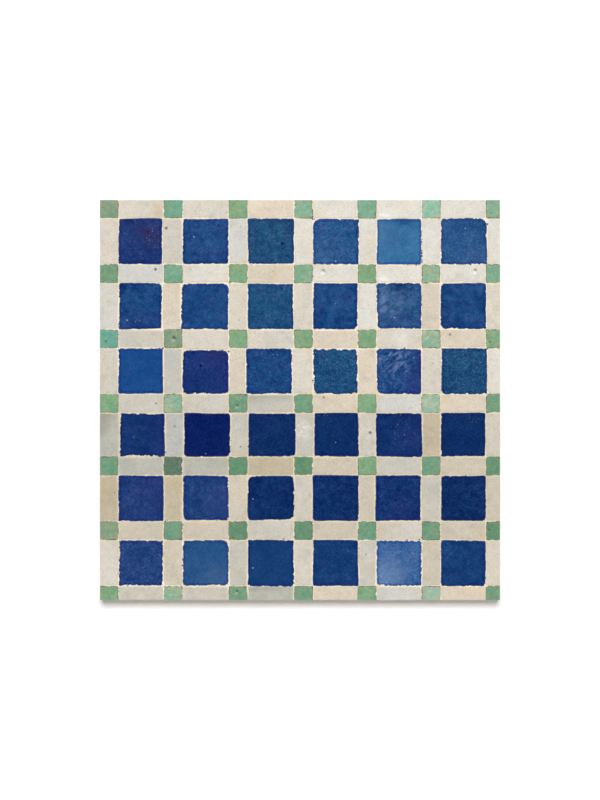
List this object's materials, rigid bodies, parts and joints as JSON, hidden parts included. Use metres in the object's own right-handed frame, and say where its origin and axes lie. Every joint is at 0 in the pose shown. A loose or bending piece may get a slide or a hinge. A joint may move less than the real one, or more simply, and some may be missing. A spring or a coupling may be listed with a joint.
{
  "type": "zellige tile",
  "caption": "Square sheet of hand-cut zellige mosaic: glazed blue squares framed by ivory strips, with small green squares where the strips cross, set in a thin mortar bed.",
  "frame": {"origin": "middle of the sheet's flat back", "axes": "+Z out of the glazed face, +X to the right along the rows of squares, +Y up the pattern"},
  "size_m": [0.305, 0.305, 0.018],
  "materials": {
    "blue_glaze": "gloss",
    "ivory_glaze": "gloss",
    "green_glaze": "gloss",
    "mortar": "matte"
  },
  "bodies": {
    "root": {"blue_square_r1_c1": "blue_glaze", "blue_square_r1_c2": "blue_glaze", "blue_square_r1_c3": "blue_glaze", "blue_square_r1_c4": "blue_glaze", "blue_square_r1_c5": "blue_glaze", "blue_square_r1_c6": "blue_glaze", "blue_square_r2_c1": "blue_glaze", "blue_square_r2_c2": "blue_glaze", "blue_square_r2_c3": "blue_glaze", "blue_square_r2_c4": "blue_glaze", "blue_square_r2_c5": "blue_glaze", "blue_square_r2_c6": "blue_glaze", "blue_square_r3_c1": "blue_glaze", "blue_square_r3_c2": "blue_glaze", "blue_square_r3_c3": "blue_glaze", "blue_square_r3_c4": "blue_glaze", "blue_square_r3_c5": "blue_glaze", "blue_square_r3_c6": "blue_glaze", "blue_square_r4_c1": "blue_glaze", "blue_square_r4_c2": "blue_glaze", "blue_square_r4_c3": "blue_glaze", "blue_square_r4_c4": "blue_glaze", "blue_square_r4_c5": "blue_glaze", "blue_square_r4_c6": "blue_glaze", "blue_square_r5_c1": "blue_glaze", "blue_square_r5_c2": "blue_glaze", "blue_square_r5_c3": "blue_glaze", "blue_square_r5_c4": "blue_glaze", "blue_square_r5_c5": "blue_glaze", "blue_square_r5_c6": "blue_glaze", "blue_square_r6_c1": "blue_glaze", "blue_square_r6_c2": "blue_glaze", "blue_square_r6_c3": "blue_glaze", "blue_square_r6_c4": "blue_glaze", "blue_square_r6_c5": "blue_glaze", "blue_square_r6_c6": "blue_glaze", "green_squares_1": "green_glaze", "ivory_strips_across_1": "ivory_glaze", "green_squares_2": "green_glaze", "ivory_strips_across_2": "ivory_glaze", "green_squares_3": "green_glaze", "ivory_strips_across_3": "ivory_glaze", "green_squares_4": "green_glaze", "ivory_strips_across_4": "ivory_glaze", "green_squares_5": "green_glaze", "ivory_strips_across_5": "ivory_glaze", "green_squares_6": "green_glaze", "ivory_strips_across_6": "ivory_glaze", "green_squares_7": "green_glaze", "ivory_strips_across_7": "ivory_glaze", "ivory_strips_upright_1": "ivory_glaze", "ivory_strips_upright_2": "ivory_glaze", "ivory_strips_upright_3": "ivory_glaze", "ivory_strips_upright_4": "ivory_glaze", "ivory_strips_upright_5": "ivory_glaze", "ivory_strips_upright_6": "ivory_glaze", "mortar_bed": "mortar"}
  },
  "joints": []
}
